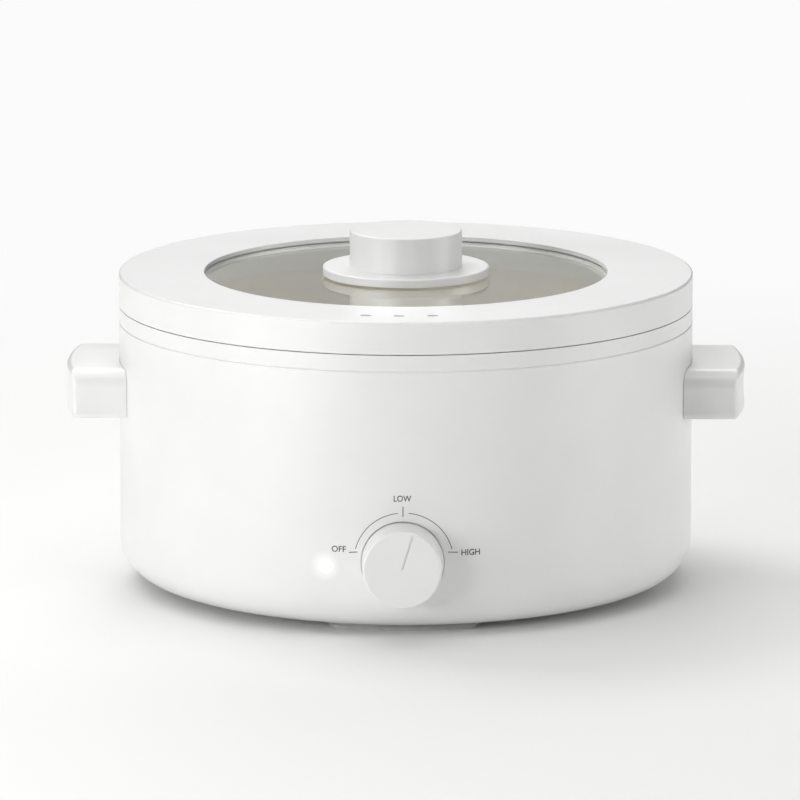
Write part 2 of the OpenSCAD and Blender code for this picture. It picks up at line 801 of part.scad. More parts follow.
// Mouth of the inlet with its two cut corners, grown by a wall all round
module inlet_outline(grow) {
    w = mouth_w / 2 + grow;
    h = mouth_h / 2 + grow;
    cut = mouth_cut;
    polygon([[-w, -h], [w, -h], [w, h - cut], [w - cut, h], [cut - w, h], [-w, h - cut]]);
}

module inlet_housing() color(DARK) difference() {
    union() {
        on_rear(inlet_flange_y, inlet_z) linear_extrude(inlet_flange.z)
            round_rect_2d(inlet_flange.x, inlet_flange.y, inlet_corner_r);
        on_rear(inlet_in_y, inlet_z) linear_extrude(inlet_flange_y - inlet_in_y + over)
            inlet_outline(inlet_wall);
    }
    on_rear(inlet_in_y + inlet_back_t, inlet_z) linear_extrude(mouth_depth + over) inlet_outline(0);
    at_blades() on_rear(inlet_in_y - over, 0) linear_extrude(inlet_back_t + 2 * over)
        square([blade.x + 2 * run_gap, blade.y + 2 * run_gap], center = true);
    at_inlet_screws() sunk_screw(inlet_flange.z + over, hole_gap);
}

module at_blades() {
    for (s = [-1, 1]) translate([s * blade_pitch / 2, 0, inlet_z - blade_lift]) children();
    translate([0, 0, inlet_z + blade_lift]) children();
}

module inlet_blades() color(STEEL) at_blades() on_rear(inlet_in_y - blade_tail, 0)
    linear_extrude(blade_tail + inlet_back_t + mouth_depth - blade_recess) square(blade, center = true);

// Countersunk screw drawn along -Z, flush with z = 0, grown by a clearance
module sunk_screw(bite, grow) {
    translate([0, 0, -bite]) cylinder(r = screw_r + grow, h = bite);
    translate([0, 0, -sunk_h - grow])
        cylinder(r1 = screw_r + grow, r2 = screw_head_r + grow, h = sunk_h + grow);
}

module at_inlet_screws() for (s = [-1, 1])
    on_rear(inlet_face_y, inlet_z) translate([s * inlet_pitch / 2, 0, 0]) children();

module inlet_screws() color(STEEL) at_inlet_screws() sunk_screw(inlet_screw_l, 0);

module terminal_block() color(CERAMIC) translate([-block.x / 2, block_y, floor_z]) cube(block);

// Wires, each along a route chosen by hand between the pieces that it joins
module wiring() color("#c8c8c8") {
    fuse_x = fuse_l / 2 + probe_lead;
    first_end = tube_end(0);
    last_end = tube_end(1);
    drop_y = block_y + block.y + 5;
    tag_z = dial_z - tag_drop;
    // inlet blades to the terminal block
    for (side = [-1, 0, 1]) let (x = side * blade_pitch / 2, z = inlet_z + blade_lift * (1 - 2 * abs(side)))
        cable([
            [x, blade_end_y, z],
            [x, drop_y, z],
            [x, drop_y, block_mid_z],
            [x, block_y + block.y, block_mid_z]
        ], wire_r, 2);
    // terminal block to the thermal fuse, and from the fuse to one end of the element
    cable([
        [wire_tag_x, block_y, block_mid_z],
        [wire_tag_x, block_y - 12, block_mid_z],
        [fuse_x, probe_y + 10, block_mid_z],
        [fuse_x, probe_y, block_mid_z],
        [fuse_x, probe_y, fuse_wire_z]
    ], wire_r, wire_bend);
    cable([
        [-fuse_x, probe_y, fuse_wire_z],
        [-fuse_x, probe_y, rear_loom_z],
        [last_end.x, last_end.y, rear_loom_z],
        [last_end.x, last_end.y, end_z]
    ], wire_r, wire_bend);
    // terminal block to the control, and from the control to the other end of the element
    cable([
        [-wire_tag_x, block_y, block_mid_z],
        [-wire_tag_x, block_y - 20, block_mid_z],
        [-wire_tag_x, control_back_y + 20, front_loom_z],
        [-wire_tag_x, control_back_y + 8, tag_z],
        [-wire_tag_x, control_back_y, tag_z]
    ], wire_r, wide_bend);
    cable([
        [4, control_back_y, tag_z],
        [4, control_back_y + 8, tag_z],
        [4, control_back_y + 20, front_loom_z],
        [first_end.x, first_end.y - 20, front_loom_z],
        [first_end.x, first_end.y, front_loom_z],
        [first_end.x, first_end.y, end_z]
    ], wire_r, wide_bend);
    // control to the indicator's board
    cable([
        [-control_w / 2, control_back_y - 6, dial_z - 8],
        [-control_w / 2 - 6, control_back_y - 6, dial_z - 8],
        spoke(board_r - 8),
        spoke(board_r)
    ], thin_wire_r, 2);
}

// Point on the indicator's spoke, a little below the lens
function spoke(r) = [-r * sin(lens_angle), -r * cos(lens_angle), lens_z - lamp_wire_drop];

// Where the element's end stands, seen from above
function tube_end(i) = tube_ring_r * [cos(end_angles[i]), sin(end_angles[i])];

// ---- handles --------------------------------------------------------------------------------------

// Upright section of a handle, from r_in out to r_out: upper edge rounded by top_r, cove, lower edge
module handle_section(r_in, r_out, top_r) {
    cove_half = (handle_h - top_r - handle_bottom_r) / 2;
    cove_r = (pow(cove_half, 2) + pow(cove_depth, 2)) / (2 * cove_depth);
    difference() {
        union() {
            translate([r_in, handle_bottom_r]) square([r_out - r_in, 2 * cove_half]);
            translate([r_in, 0]) square([r_out - handle_bottom_r - r_in, handle_h / 2]);
            translate([r_in, handle_h / 2]) square([r_out - top_r - r_in, handle_h / 2]);
            translate([r_out - handle_bottom_r, handle_bottom_r]) circle(handle_bottom_r);
            translate([r_out - top_r, handle_h - top_r]) circle(top_r);
        }
        translate([r_out - cove_depth + cove_r, handle_bottom_r + cove_half]) circle(cove_r);
    }
}

module handle() difference() {
    intersection() {
        translate([0, 0, handle_z]) rotate_extrude()
            handle_section(body_r + face_gap, handle_out_r, handle_top_r);
        translate([0, 0, handle_z]) rotate([90, 0, 90]) linear_extrude(handle_out_r + over)
            for (side = [0, 1]) mirror([side, 0]) handle_section(-over, handle_w / 2, handle_side_r);
    }
    difference() {
        intersection() {
            ring(body_r - over, handle_out_r - handle_wall,
                handle_z + handle_wall, handle_top_z - handle_wall);
            translate([0, -handle_w / 2 + handle_end_wall, handle_z])
                cube([handle_out_r, handle_w - 2 * handle_end_wall, handle_h]);
        }
        at_handle_screws(1, handle_seat_x) cylinder(r = boss_r, h = handle_out_r - handle_seat_x);
    }
    at_handle_screws(1, handle_seat_x)
        cylinder(r = handle_screw_r + run_gap, h = handle_screw_l + pilot_spare);
}

module right_handle() color(WHITE) handle();

module left_handle() color(WHITE) rotate([0, 0, 180]) handle();

module handle_screws() color(STEEL) for (side = [-1, 1]) at_handle_screws(side, handle_seat_x)
    screw(handle_screw_r, handle_head_r, handle_head_h, handle_screw_l);

// ---- base -----------------------------------------------------------------------------------------

module at_pegs() for (s = [-1, 1])
    rotate([0, 0, s * foot_peg_angle]) translate([0, -foot_mid_r, 0]) children();

module base_cover() color(WHITE) difference() {
    translate([0, 0, shell_z]) cylinder(r = cover_r, h = cover_t);
    for (i = [0 : 3]) rotate([0, 0, 90 * i]) at_pegs() hole(foot_peg_r + face_gap, shell_z, floor_z);
    for (a = post_angles) rotate([0, 0, a]) translate([post_ring_r, 0, 0])
        hole(screw_r + hole_gap, shell_z, floor_z);
    for (i = [0 : cover_slots_n - 1]) rotate([0, 0, 360 * i / cover_slots_n])
        translate([cover_slot_ring_r, 0, shell_z - over])
            linear_extrude(cover_t + 2 * over) slot_2d(cover_slot.x, cover_slot.y);
}

module base_screws() color(STEEL) for (a = post_angles) rotate([0, 0, a])
    translate([post_ring_r, 0, shell_z]) screw(screw_r, screw_head_r, screw_head_h, screw_bite);

// Foot: a curved bar under the cover's edge, with slanted ends, a moulded line and two pegs
module foot() color(SILICONE) {
    intersection() {
        rotate_extrude() difference() {
            translate([foot_out_r - foot_t, 0]) square([foot_t, foot_h]);
            translate([foot_out_r - foot_line, foot_line_z]) square([foot_line + over, foot_line]);
        }
        translate([0, -foot_out_r + foot_t * 2, 0]) rotate([90, 0, 0]) linear_extrude(foot_t * 3) polygon([
            [-foot_w / 2 + foot_slant, 0],
            [foot_w / 2 - foot_slant, 0],
            [foot_w / 2, foot_h],
            [-foot_w / 2, foot_h]
        ]);
    }
    at_pegs() translate([0, 0, foot_h - eps]) cylinder(r = foot_peg_r, h = cover_t - face_gap);
}

module front_foot() foot();

module right_foot() rotate([0, 0, 90]) foot();

module rear_foot() rotate([0, 0, 180]) foot();

module left_foot() rotate([0, 0, 270]) foot();

// ---- lid ------------------------------------------------------------------------------------------

module at_lid_screws() for (i = [0 : lid_screws_n - 1]) rotate([0, 0, 360 * i / lid_screws_n])
    translate([lid_screw_ring_r, 0, 0]) children();

module at_vents(r) for (i = [-1 : 1]) rotate([0, 0, i * vent_step + vent_turn])
    translate([0, -r, 0]) children();

module lid_ring() color(WHITE) difference() {
    union() {
        translate([0, 0, lid_z]) rotate_extrude() difference() {
            union() {
                square([body_r, lid_h - lid_edge_r]);
                square([body_r - lid_edge_r, lid_h]);
                translate([body_r - lid_edge_r, lid_h - lid_edge_r]) circle(lid_edge_r);
            }
            translate([-over, -over]) square([window_r + over, lid_h + 2 * over]);
            translate([-over, -over]) square([body_r - lid_wall + over, lid_h - lid_top_t + over]);
        }
        at_lid_screws() translate([0, 0, plate_top_z])
            cylinder(r = boss_r, h = lid_ceiling_z - plate_top_z + eps);
    }
    at_lid_screws() translate([0, 0, plate_top_z - over])
        cylinder(r = screw_r + run_gap, h = lid_ceiling_z - plate_top_z);
    at_vents(vent_ring_r) translate([0, 0, lid_ceiling_z - over])
        linear_extrude(lid_top_t + 2 * over) slot_2d(vent_l, vent_w);
}

module lid_base_plate() color(WHITE) difference() {
    union() {
        ring(plate_in_r, plate_out_r, plate_z, plate_top_z);
        ring(skirt_r - skirt_t, skirt_r, rim_z - skirt_drop, plate_z + eps);
        ring(plate_out_r - rest_skirt_t, plate_out_r, rim_z + rest_gap, plate_z + eps);
        ring(seal_fence_r, seal_fence_r + seal_fence_t, plate_top_z - eps, plate_top_z + seal_fence_h);
    }
    at_lid_screws() hole(screw_r + hole_gap, plate_z, plate_top_z);
    at_vents(vent_low_ring_r) translate([0, 0, plate_z - over])
        linear_extrude(plate_t + 2 * over) slot_2d(vent_low.x, vent_low.y);
}

module lid_screws() color(STEEL) at_lid_screws() translate([0, 0, plate_z])
    screw(screw_r, screw_head_r, screw_head_h, lid_screw_l);

module window_glass() color([0.85, 0.93, 0.93, 0.35]) difference() {
    translate([0, 0, glass_z]) cylinder(r = glass_r, h = glass_t);
    hole(glass_hole_r, glass_z, glass_top_z);
}

module glass_seal() color(SILICONE) difference() {
    ring(seal_in_r, seal_out_r, plate_top_z, lid_ceiling_z);
    translate([0, 0, glass_z]) cylinder(r = glass_r + run_gap, h = glass_t);
}

module knob_gasket() color(SILICONE) ring(knob_hole_r, gasket_r, glass_top_z, flange_z);

module knob_flange() color(WHITE) difference() {
    translate([0, 0, flange_z]) rotate_extrude() {
        square([flange_d / 2, flange_t - flange_edge_r]);
        square([flange_d / 2 - flange_edge_r, flange_t]);
        translate([flange_d / 2 - flange_edge_r, flange_t - flange_edge_r]) circle(flange_edge_r);
    }
    ring(gasket_r + gasket_land, flange_d / 2 - flange_rim, flange_z - over, grip_z - flange_skin);
    hole(knob_hole_r, flange_z, grip_z);
}

module knob_grip() color(WHITE) difference() {
    translate([0, 0, grip_z]) rotate_extrude() {
        square([grip_d / 2, grip_h - grip_edge_r]);
        square([grip_d / 2 - grip_edge_r, grip_h]);
        translate([grip_d / 2 - grip_edge_r, grip_h - grip_edge_r]) circle(grip_edge_r);
    }
    ring(insert_boss_r, grip_d / 2 - grip_wall, grip_z - over, grip_z + grip_h - grip_top_t);
    translate([0, 0, grip_z - over])
        cylinder(r = insert_r + face_gap, h = over + insert_h + 2 * insert_sink);
}

module knob_insert() color(BRASS)
    ring(thread_r, insert_r, grip_z + insert_sink, grip_z + insert_sink + insert_h);

module knob_cushion() color(SILICONE) ring(knob_hole_r, cushion_r, glass_z - cushion_t, glass_z);

module knob_washer() color(STEEL)
    ring(knob_hole_r, washer_r, glass_z - cushion_t - washer_t, glass_z - cushion_t);

module knob_screw() color(STEEL) translate([0, 0, glass_z - cushion_t - washer_t])
    screw(thread_r - run_gap, knob_head_r, knob_head_h, grip_z + insert_h - glass_z + cushion_t + washer_t);

// ---- nodes ----------------------------------------------------------------------------------------

housing();
collar();
cooking_pot();
pot_seal();
heater_plate();
heating_element();
terminal_bushes();
heat_shield();
shield_screws();
pot_studs();
pot_nuts();
sensor_bulb();
bulb_clip();
thermal_fuse();
fuse_clip();
control_body();
control_nut();
indicator_lens();
indicator_lamp();
lamp_board();
inlet_housing();
inlet_blades();
inlet_screws();
terminal_block();
wiring();
left_handle();
right_handle();
handle_screws();
base_cover();
base_screws();
front_foot();
right_foot();
rear_foot();
left_foot();
dial_knob();
control_spindle();
lid_ring();
lid_base_plate();
lid_screws();
window_glass();
glass_seal();
knob_gasket();
knob_flange();
knob_grip();
knob_insert();
knob_cushion();
knob_washer();
knob_screw();
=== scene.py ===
import math

import bmesh
import bpy
import numpy as np
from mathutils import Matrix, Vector


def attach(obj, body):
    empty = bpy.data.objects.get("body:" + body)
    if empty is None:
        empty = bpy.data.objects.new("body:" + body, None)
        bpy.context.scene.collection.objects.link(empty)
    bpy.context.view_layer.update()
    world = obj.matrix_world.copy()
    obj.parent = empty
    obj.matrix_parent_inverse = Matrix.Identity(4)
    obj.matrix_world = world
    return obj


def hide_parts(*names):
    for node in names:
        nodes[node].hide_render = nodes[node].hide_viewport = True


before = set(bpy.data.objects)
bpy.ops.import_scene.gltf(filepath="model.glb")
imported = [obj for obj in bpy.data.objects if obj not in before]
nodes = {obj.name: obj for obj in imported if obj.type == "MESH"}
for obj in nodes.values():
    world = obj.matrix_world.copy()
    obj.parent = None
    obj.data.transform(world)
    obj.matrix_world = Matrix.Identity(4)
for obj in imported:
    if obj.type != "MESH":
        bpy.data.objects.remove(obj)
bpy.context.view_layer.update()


# ---- Housing ---------------------------------------------------------------------
# The round outer shell of the base: one injection moulding in white polypropylene.
# Its mould was blasted to a fine satin grain, so the light on it spreads in soft bands.
def linear(code):
    """sRGB hex to linear red, green, blue and 1 for alpha. Each channel is divided by 12.92
    up to 0.04045. Above that, 0.055 is added, it is divided by 1.055 and raised to 2.4."""
    channels = np.array([int(code[at:at + 2], 16) for at in (0, 2, 4)]) / 255
    bright = ((channels + 0.055) / 1.055) ** 2.4
    return (*np.where(channels > 0.04045, bright, channels / 12.92).tolist(), 1.0)


def add(tree, kind, values=None, links=None, **settings):
    """Adds one node: its settings, the values on its sockets and the outputs linked to them."""
    node = tree.nodes.new(kind)
    for name, setting in settings.items():
        setattr(node, name, setting)
    for socket, value in (values or {}).items():
        node.inputs[socket].default_value = value
    for socket, output in (links or {}).items():
        tree.links.new(output, node.inputs[socket])
    return node


def unfinished(name):
    """A new material, its empty node tree and the output that tells a pattern its place on
    the piece, in metres."""
    finish = bpy.data.materials.new(name)
    finish.use_nodes = True
    tree = finish.node_tree
    tree.nodes.clear()
    return finish, tree, add(tree, "ShaderNodeTexCoord").outputs["Object"]


def skin(tree, light, dark, rough, relief, drift, flow, marks, gloss):
    """The surface of an opaque material, from three patterns. As drift climbs through the
    middle of its range, the colour goes from dark to light, and as flow does, the roughness
    goes from the first of rough to the second. Marks stand relief millimetres high. Gloss
    holds the values that are the same all over."""
    low, high = 0.3, 0.7
    tone = add(tree, "ShaderNodeValToRGB", links={"Fac": drift})
    tone.color_ramp.elements[0].position = low
    tone.color_ramp.elements[0].color = linear(dark)
    tone.color_ramp.elements[1].position = high
    tone.color_ramp.elements[1].color = linear(light)
    sheen = add(tree, "ShaderNodeMapRange",
                {"From Min": low, "From Max": high, "To Min": rough[0], "To Max": rough[1]},
                {"Value": flow})
    bumps = add(tree, "ShaderNodeBump", {"Strength": 1.0, "Distance": relief / 1000},
                {"Height": marks})
    shader = add(tree, "ShaderNodeBsdfPrincipled", gloss,
                 {"Base Color": tone.outputs["Color"], "Roughness": sheen.outputs["Result"],
                  "Normal": bumps.outputs["Normal"]}, name="Surface")
    add(tree, "ShaderNodeOutputMaterial", links={"Surface": shader.outputs["BSDF"]})


def moulded(name, light, dark, rough, grain, relief, patch, gloss):
    """A moulded polymer or a fired clay, with its sizes in millimetres. Clouds, patch wide,
    drift between two close tones, and clouds 2.7 times as wide between two roughnesses.
    Grain of that size stands relief high."""
    finish, tree, place = unfinished(name)
    clouds = add(tree, "ShaderNodeTexNoise", {"Scale": 1000 / patch, "Detail": 4.0},
                 {"Vector": place})
    flow = add(tree, "ShaderNodeTexNoise", {"Scale": 370 / patch, "Detail": 3.0},
               {"Vector": place})
    pits = add(tree, "ShaderNodeTexNoise", {"Scale": 1000 / grain, "Detail": 2.0},
               {"Vector": place})
    skin(tree, light, dark, rough, relief, clouds.outputs["Fac"], flow.outputs["Fac"],
         pits.outputs["Fac"], gloss)
    return finish


def dress(finish, *names):
    """Gives CAD nodes their finish."""
    for name in names:
        for kept in nodes[name].material_slots:
            kept.material = finish


# White polypropylene, moulded satin: broad soft highlights and a barely visible drift in tone.
# The blasted grain is about 0.1 mm across and is drawn at 0.7 mm, so that the render holds it.
satin_white = ("efefee", "ebebea", (0.3, 0.36), 0.7, 0.006, 45,
               {"IOR": 1.49, "Coat Weight": 1.0, "Coat Roughness": 0.38})
# The shell's copy of this plastic gets a painted glow round the indicator lens further on.
shell_plastic_painted_glow = moulded("polypropylene_shell_white_painted_glow", *satin_white)
dress(shell_plastic_painted_glow, "housing")


# ---- Collar ----------------------------------------------------------------------
# The upper ring of the wall: a second white moulding that snaps on the shell over the
# pot's flange. A fine V groove shows where the two meet.
white_plastic = moulded("polypropylene_moulded_white", *satin_white)
dress(white_plastic, "collar")


# ---- Cooking pot and its seal ----------------------------------------------------
# A pressed aluminium pot with a sprayed and fired cream ceramic coating, held by studs.
# A silicone ring seals its flange against the shell.
# Fired coating: half glossy and faintly rippled like orange peel, with fine warm flecks. The
# flecks are about 0.2 mm in the real coating and are drawn at up to 0.8 mm so that they show.
coating = moulded("ceramic_coating_cream", "efe9dc", "eae3d4", (0.28, 0.36), 2.2, 0.02, 30,
                  {"IOR": 1.52, "Coat Weight": 0.3, "Coat Roughness": 0.22})
flecks_per_metre = 420.0
tree = coating.node_tree
base = tree.nodes["Surface"].inputs["Base Color"]
place = add(tree, "ShaderNodeTexCoord").outputs["Object"]
cells = add(tree, "ShaderNodeTexVoronoi", {"Scale": flecks_per_metre}, {"Vector": place})
fleck = add(tree, "ShaderNodeMapRange",
            {"From Min": 0.1, "From Max": 0.16, "To Min": 0.35, "To Max": 0.0},
            {"Value": cells.outputs["Distance"]})
tint = add(tree, "ShaderNodeMixRGB", {"Color2": linear("cdbfa4")},
           {"Fac": fleck.outputs["Result"], "Color1": base.links[0].from_socket})
tree.links.new(tint.outputs["Color"], base)
dress(coating, "cooking_pot")
# Milky silicone rubber: matt, soft to the light and a little cloudy.
silicone = moulded("silicone_rubber_milky", "dededb", "d3d3cf", (0.5, 0.62), 0.9, 0.01, 20,
                   {"IOR": 1.41})
dress(silicone, "pot_seal")


# ---- Heater and its fixings ------------------------------------------------------
# A die-cast aluminium plate with a tubular heating element, held under the pot by studs
# and nuts. A pressed aluminium shield keeps its heat from the base.
def worked(name, light, dark, rough, marks, relief):
    """A worked metal, with its sizes in millimetres. Its tool marks have the sizes marks
    along x, y and z and stand relief high. They carry tone and roughness together, from
    dark and dull to light and smooth."""
    finish, tree, place = unfinished(name)
    lay = add(tree, "ShaderNodeMapping", {"Scale": [1000 / size for size in marks]},
              {"Vector": place})
    marking = add(tree, "ShaderNodeTexNoise", {"Scale": 1.0, "Detail": 5.0},
                  {"Vector": lay.outputs["Vector"]}).outputs["Fac"]
    skin(tree, light, dark, rough, relief, marking, marking, marking, {"Metallic": 1.0})
    return finish


# Die-cast and pressed aluminium: pale grey, with an even sand-like skin of about 0.6 mm.
aluminium = worked("aluminium_cast", "dcdde0", "c6c8cc", (0.5, 0.34), (0.6, 0.6, 0.6), 0.02)
dress(aluminium, "heater_plate", "heat_shield")
# Zinc-plated steel: drawn wire and turned screws, with fine marks that run upright.
steel = worked("steel_zinc_plated", "d3d5da", "b4b7be", (0.38, 0.24), (0.4, 0.4, 4), 0.008)
dress(steel, "heating_element", "shield_screws", "pot_studs", "pot_nuts")
# Steatite: pressed and fired at the terminals, chalky and slightly speckled.
steatite = moulded("steatite_fired", "e9e4d8", "dcd5c6", (0.55, 0.7), 0.6, 0.02, 8,
                   {"IOR": 1.6})
dress(steatite, "terminal_bushes")


# ---- Thermostat, fuse and dial ---------------------------------------------------
# A bulb-and-capillary thermostat in a phenolic case, with a thermal cut-out beside it. Its
# flatted spindle carries a white push-on dial, moulded with a pointer groove in its face.
# Drawn and turned brass: warm yellow, with fine lathe marks.
brass = worked("brass_turned", "dcc07c", "c4a660", (0.34, 0.22), (0.8, 0.8, 0.4), 0.006)
# Black phenolic: moulded with a faint flow pattern and a half-dull skin.
phenolic = moulded("phenolic_black", "232326", "18181a", (0.38, 0.5), 0.6, 0.01, 12,
                   {"IOR": 1.55})
dress(brass, "sensor_bulb")
dress(steatite, "thermal_fuse")
dress(steel, "bulb_clip", "fuse_clip", "control_nut", "control_spindle")
dress(phenolic, "control_body")
dress(white_plastic, "dial_knob")


# ---- Printed scale ---------------------------------------------------------------
# Two arcs, three strokes and the settings, pad printed in dark grey ink on the shell round
# the dial. The ink stands a few hundredths of a millimetre proud of the plastic.
shell_radius = 150
ink_top, ink_root = 0.04, -0.05
letter_height = 3.15


def settle(name, mesh, finish, sharp=35):
    """Merges a mesh's doubles, turns its faces outwards, keeps edges past the angle sharp in
    degrees sharp, rounds the shading of the rest and puts it in the scene."""
    shape = bmesh.new()
    shape.from_mesh(mesh)
    bmesh.ops.remove_doubles(shape, verts=shape.verts, dist=1e-7)
    bmesh.ops.recalc_face_normals(shape, faces=shape.faces)
    shape.to_mesh(mesh)
    shape.free()
    mesh.shade_smooth()
    mesh.set_sharp_from_angle(angle=math.radians(sharp))
    mesh.materials.clear()
    mesh.materials.append(finish)
    piece = bpy.data.objects.new(name, mesh)
    bpy.context.collection.objects.link(piece)
    return piece


def stack(name, loops, finish, sharp=35):
    """A closed surface through loops of points in millimetres, an array by loop, point and
    axis. Each loop is joined to the next, and both end loops are closed at their middles."""
    ends = loops[[0, -1]].mean(1, keepdims=True).repeat(loops.shape[1], 1)
    loops = np.concatenate([ends[:1], loops, ends[1:]])
    rows, points = loops.shape[:2]
    row, point = np.indices((rows - 1, points))
    near = row * points + point
    beside = row * points + (point + 1) % points
    quads = np.stack([near, beside, beside + points, near + points], -1)
    mesh = bpy.data.meshes.new(name)
    mesh.from_pydata((loops.reshape(-1, 3) / 1000).tolist(), [], quads.reshape(-1, 4).tolist())
    return settle(name, mesh, finish, sharp)


def on_wall(across, height, proud):
    """Points on the shell's wall, in millimetres. The angle round the pot is across divided
    by the shell's radius, and each point stands proud of that radius."""
    angle = across / shell_radius
    away = shell_radius + proud
    return np.stack([away * np.sin(angle), -away * np.cos(angle), height + 0 * angle], -1)


def stroke(name, along, rise, wide, finish):
    """A printed line: a thin bar, wide across, whose middle follows the points along and
    rise on the wall, with its edges set off at right angles to its run."""
    run, climb = np.gradient(along), np.gradient(rise)
    length = np.hypot(run, climb)
    side = np.array([-0.5, 0.5, 0.5, -0.5]) * wide
    proud = np.array([ink_root, ink_root, ink_top, ink_top])
    across = along[:, None] - (climb / length)[:, None] * side
    height = rise[:, None] + (run / length)[:, None] * side
    return stack(name, on_wall(across, height, proud + 0 * across), finish)


def word(name, letters, middle, height, width, finish):
    """Letters in a plain face, set width wide about middle and height, and bent to the wall.
    The text is thickened by the offset and scaled to a box of 1 by 1 by 1 first."""
    line = bpy.data.curves.new(name, "FONT")
    line.body = letters
    line.extrude = 0.05
    line.offset = 0.012
    line.resolution_u = 6
    holder = bpy.data.objects.new(name, line)
    bpy.context.collection.objects.link(holder)
    shapes = bpy.context.evaluated_depsgraph_get()
    mesh = bpy.data.meshes.new_from_object(holder.evaluated_get(shapes))
    bpy.data.objects.remove(holder)
    spots = np.zeros(len(mesh.vertices) * 3)
    mesh.vertices.foreach_get("co", spots)
    spots = spots.reshape(-1, 3)
    low, high = spots.min(0), spots.max(0)
    spots = (spots - (low + high) / 2) / (high - low)
    bent = on_wall(middle + spots[:, 0] * width, height + spots[:, 1] * letter_height,
                   (ink_top + ink_root) / 2 + spots[:, 2] * (ink_top - ink_root))
    mesh.vertices.foreach_set("co", (bent / 1000).ravel())
    mesh.update()
    return settle(name, mesh, finish)


# Pad-printing ink: a matt dark grey film, a little thin and uneven in places.
ink = moulded("pad_print_ink_grey", "5b5b5e", "4c4c4f", (0.55, 0.7), 0.5, 0.004, 4, {})
arc_width, mark_width = 0.36, 0.42
arc_across, arc_height, arc_radius = 0.5, 40.85, 25.2
scale = []
# The arcs run round the dial between angles from the upright, in degrees.
for name, start, end in (("scale_arc_left", -75.5, -6.8), ("scale_arc_right", 5.7, 75.5)):
    turn = np.radians(np.linspace(start, end, 60))
    scale.append(stroke(name, arc_across + arc_radius * np.sin(turn),
                        arc_height + arc_radius * np.cos(turn), arc_width, ink))
# Each mark starts at a place across and up the wall, and runs sideways and upwards from it.
level = np.linspace(0, 1, 12)
for name, across, height, run, climb in (
        ("scale_off", -27.3, 45.2, 4.4, 0.35),
        ("scale_low", 0.15, 64.1, 0, 5.3),
        ("scale_high", 22.9, 45.6, 5.1, -0.25)):
    scale.append(stroke(name, across + run * level, height + climb * level, mark_width, ink))
for name, letters, middle, height, width in (
        ("word_off", "OFF", -32.55, 46.7, 7.4),
        ("word_low", "LOW", -0.1, 73.45, 8.9),
        ("word_high", "HIGH", 34.6, 45.2, 9.6)):
    scale.append(word(name, letters, middle, height, width, ink))
for mark in scale:
    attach(mark, "root")


# ---- Dial groove, painted shade --------------------------------------------------
# A light grey line laid on the floor of the groove in the dial's face: painted shade, standing
# in for the shade that falls in the groove. It runs from the face's middle towards its rim and
# turns with the dial.
dial_height = 40.4
lean = math.radians(17)
line_start, line_end, line_width = 0.4, 17.8, 0.6
shade_root, shade_top = 0.39, 0.3
# Painted groove shade: a light grey film with a soft sheen, a little thinner in places.
groove_shade_paint = moulded("painted_groove_shade_grey", "dededd", "d6d6d5", (0.45, 0.6), 0.5, 0.004, 4,
                  {"IOR": 1.48})
face = min(spot[1] for spot in nodes["dial_knob"].bound_box) * 1000
reach = np.array([line_start, line_end])[:, None]
beside = np.array([-0.5, 0.5, 0.5, -0.5]) * line_width
sunk = np.array([shade_root, shade_root, shade_top, shade_top])
line = np.stack([reach * math.sin(lean) + beside * math.cos(lean), face + sunk + 0 * reach,
                 dial_height + reach * math.cos(lean) - beside * math.sin(lean)], -1)
# The painted shade rides in the groove, just above its floor.
pointer = stack("dial_groove_painted_shade", line, groove_shade_paint)
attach(pointer, "dial")


# ---- Indicator -------------------------------------------------------------------
# A small lamp on its own board behind a frosted lens that is flush with the shell. The lens
# and the shell's white plastic round it carry a painted glow: emission that stands in for the
# lamp's light coming through them, so the lit spot has no hard edge.
lamplight = linear("fffef8")
lens_middle = (-0.0392, -0.1448, 0.0376)
# Frosted polycarbonate and a milky lamp envelope, both glowing by emission: the envelope as the
# lamp itself, the lens with a painted glow for the lamp's light behind it.
frosted = moulded("polycarbonate_frosted", "fbfbf8", "f4f4f0", (0.3, 0.4), 0.4, 0.006, 4,
                  {"IOR": 1.58, "Emission Color": lamplight, "Emission Strength": 0.9})
envelope = moulded("lamp_envelope_milky", "fbfbf8", "f1f1ec", (0.2, 0.3), 0.4, 0.006, 3,
                   {"IOR": 1.5, "Emission Color": lamplight, "Emission Strength": 2.0})
# Glass-fibre board under green solder mask: smooth, with a fine mottle from its fibres.
board = moulded("fibreglass_board_green", "2d6b45", "245a39", (0.3, 0.42), 0.5, 0.012, 4,
                {"IOR": 1.55})
dress(frosted, "indicator_lens")
dress(envelope, "indicator_lamp")
dress(board, "lamp_board")
# The painted glow in the shell is full near the lens's middle and gone at 9 mm from it.
glow_full, glow_gone = 0.002, 0.009
tree = shell_plastic_painted_glow.node_tree
place = add(tree, "ShaderNodeTexCoord").outputs["Object"]
apart = add(tree, "ShaderNodeVectorMath", {1: lens_middle}, {0: place}, operation="DISTANCE")
glow = add(tree, "ShaderNodeMapRange",
           {"From Min": glow_full, "From Max": glow_gone, "To Min": 0.15, "To Max": 0.0},
           {"Value": apart.outputs["Value"]}, interpolation_type="SMOOTHSTEP")
tree.links.new(glow.outputs["Result"], tree.nodes["Surface"].inputs["Emission Strength"])
tree.nodes["Surface"].inputs["Emission Color"].default_value = lamplight


# ---- Mains inlet and wiring ------------------------------------------------------
# A three-blade appliance inlet screwed into the back of the shell, with a fired terminal
# block behind it. Silicone-sleeved leads run on to the control, the element and the lamp.
# Nickel-plated brass: a cool white metal with a warm cast.
nickel = worked("brass_nickel_plated", "d8d4ca", "bfbab0", (0.3, 0.18), (0.6, 3, 0.6), 0.004)
# Silicone wire sleeve: off-white, extruded, with a fine drag in its skin.
sleeve = moulded("silicone_wire_sleeve", "dcdcd7", "cbcbc5", (0.45, 0.6), 0.5, 0.01, 10,
                 {"IOR": 1.41})
dress(phenolic, "inlet_housing")
dress(nickel, "inlet_blades")
dress(steel, "inlet_screws")
dress(steatite, "terminal_block")
dress(sleeve, "wiring")


